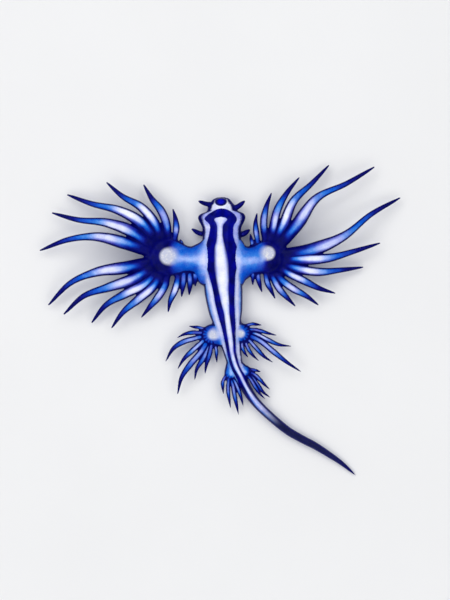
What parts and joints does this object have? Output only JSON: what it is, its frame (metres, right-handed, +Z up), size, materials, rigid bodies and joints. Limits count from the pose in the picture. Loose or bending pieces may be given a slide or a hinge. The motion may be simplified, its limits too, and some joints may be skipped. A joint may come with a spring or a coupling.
{
  "type": "blue dragon sea slug",
  "caption": "Life-size floating sea slug lying on its back: foot sole up, slim curved tail, and paired arms ending in fans of long tapering cerata.",
  "frame": {"origin": "centre of the bounding box on the floor that the animal lies on", "axes": "+Y towards the head, +X towards the side that the tail bends to, +Z up, through the foot sole"},
  "size_m": [0.0427, 0.0369, 0.0033],
  "materials": {
    "pale_blue_skin": "wet, glossy",
    "blue_skin": "wet, glossy",
    "dark_blue_skin": "wet, glossy"
  },
  "bodies": {
    "root": {"head": "pale_blue_skin", "neck": "pale_blue_skin", "trunk_front": "pale_blue_skin", "trunk_middle": "pale_blue_skin", "trunk_rear": "pale_blue_skin", "tail_base": "pale_blue_skin", "tail_middle": "pale_blue_skin", "tail_tip": "pale_blue_skin", "oral_tentacle_left": "dark_blue_skin", "oral_tentacle_right": "dark_blue_skin", "rhinophore_left": "dark_blue_skin", "rhinophore_right": "dark_blue_skin", "arm_front_left": "blue_skin", "arm_front_left_fore": "blue_skin", "arm_front_left_aft": "blue_skin", "arm_middle_left": "blue_skin", "arm_rear_left": "blue_skin", "arm_front_right": "blue_skin", "arm_front_right_fore": "blue_skin", "arm_front_right_aft": "blue_skin", "arm_middle_right": "blue_skin", "arm_rear_right": "blue_skin"}
  },
  "joints": []
}
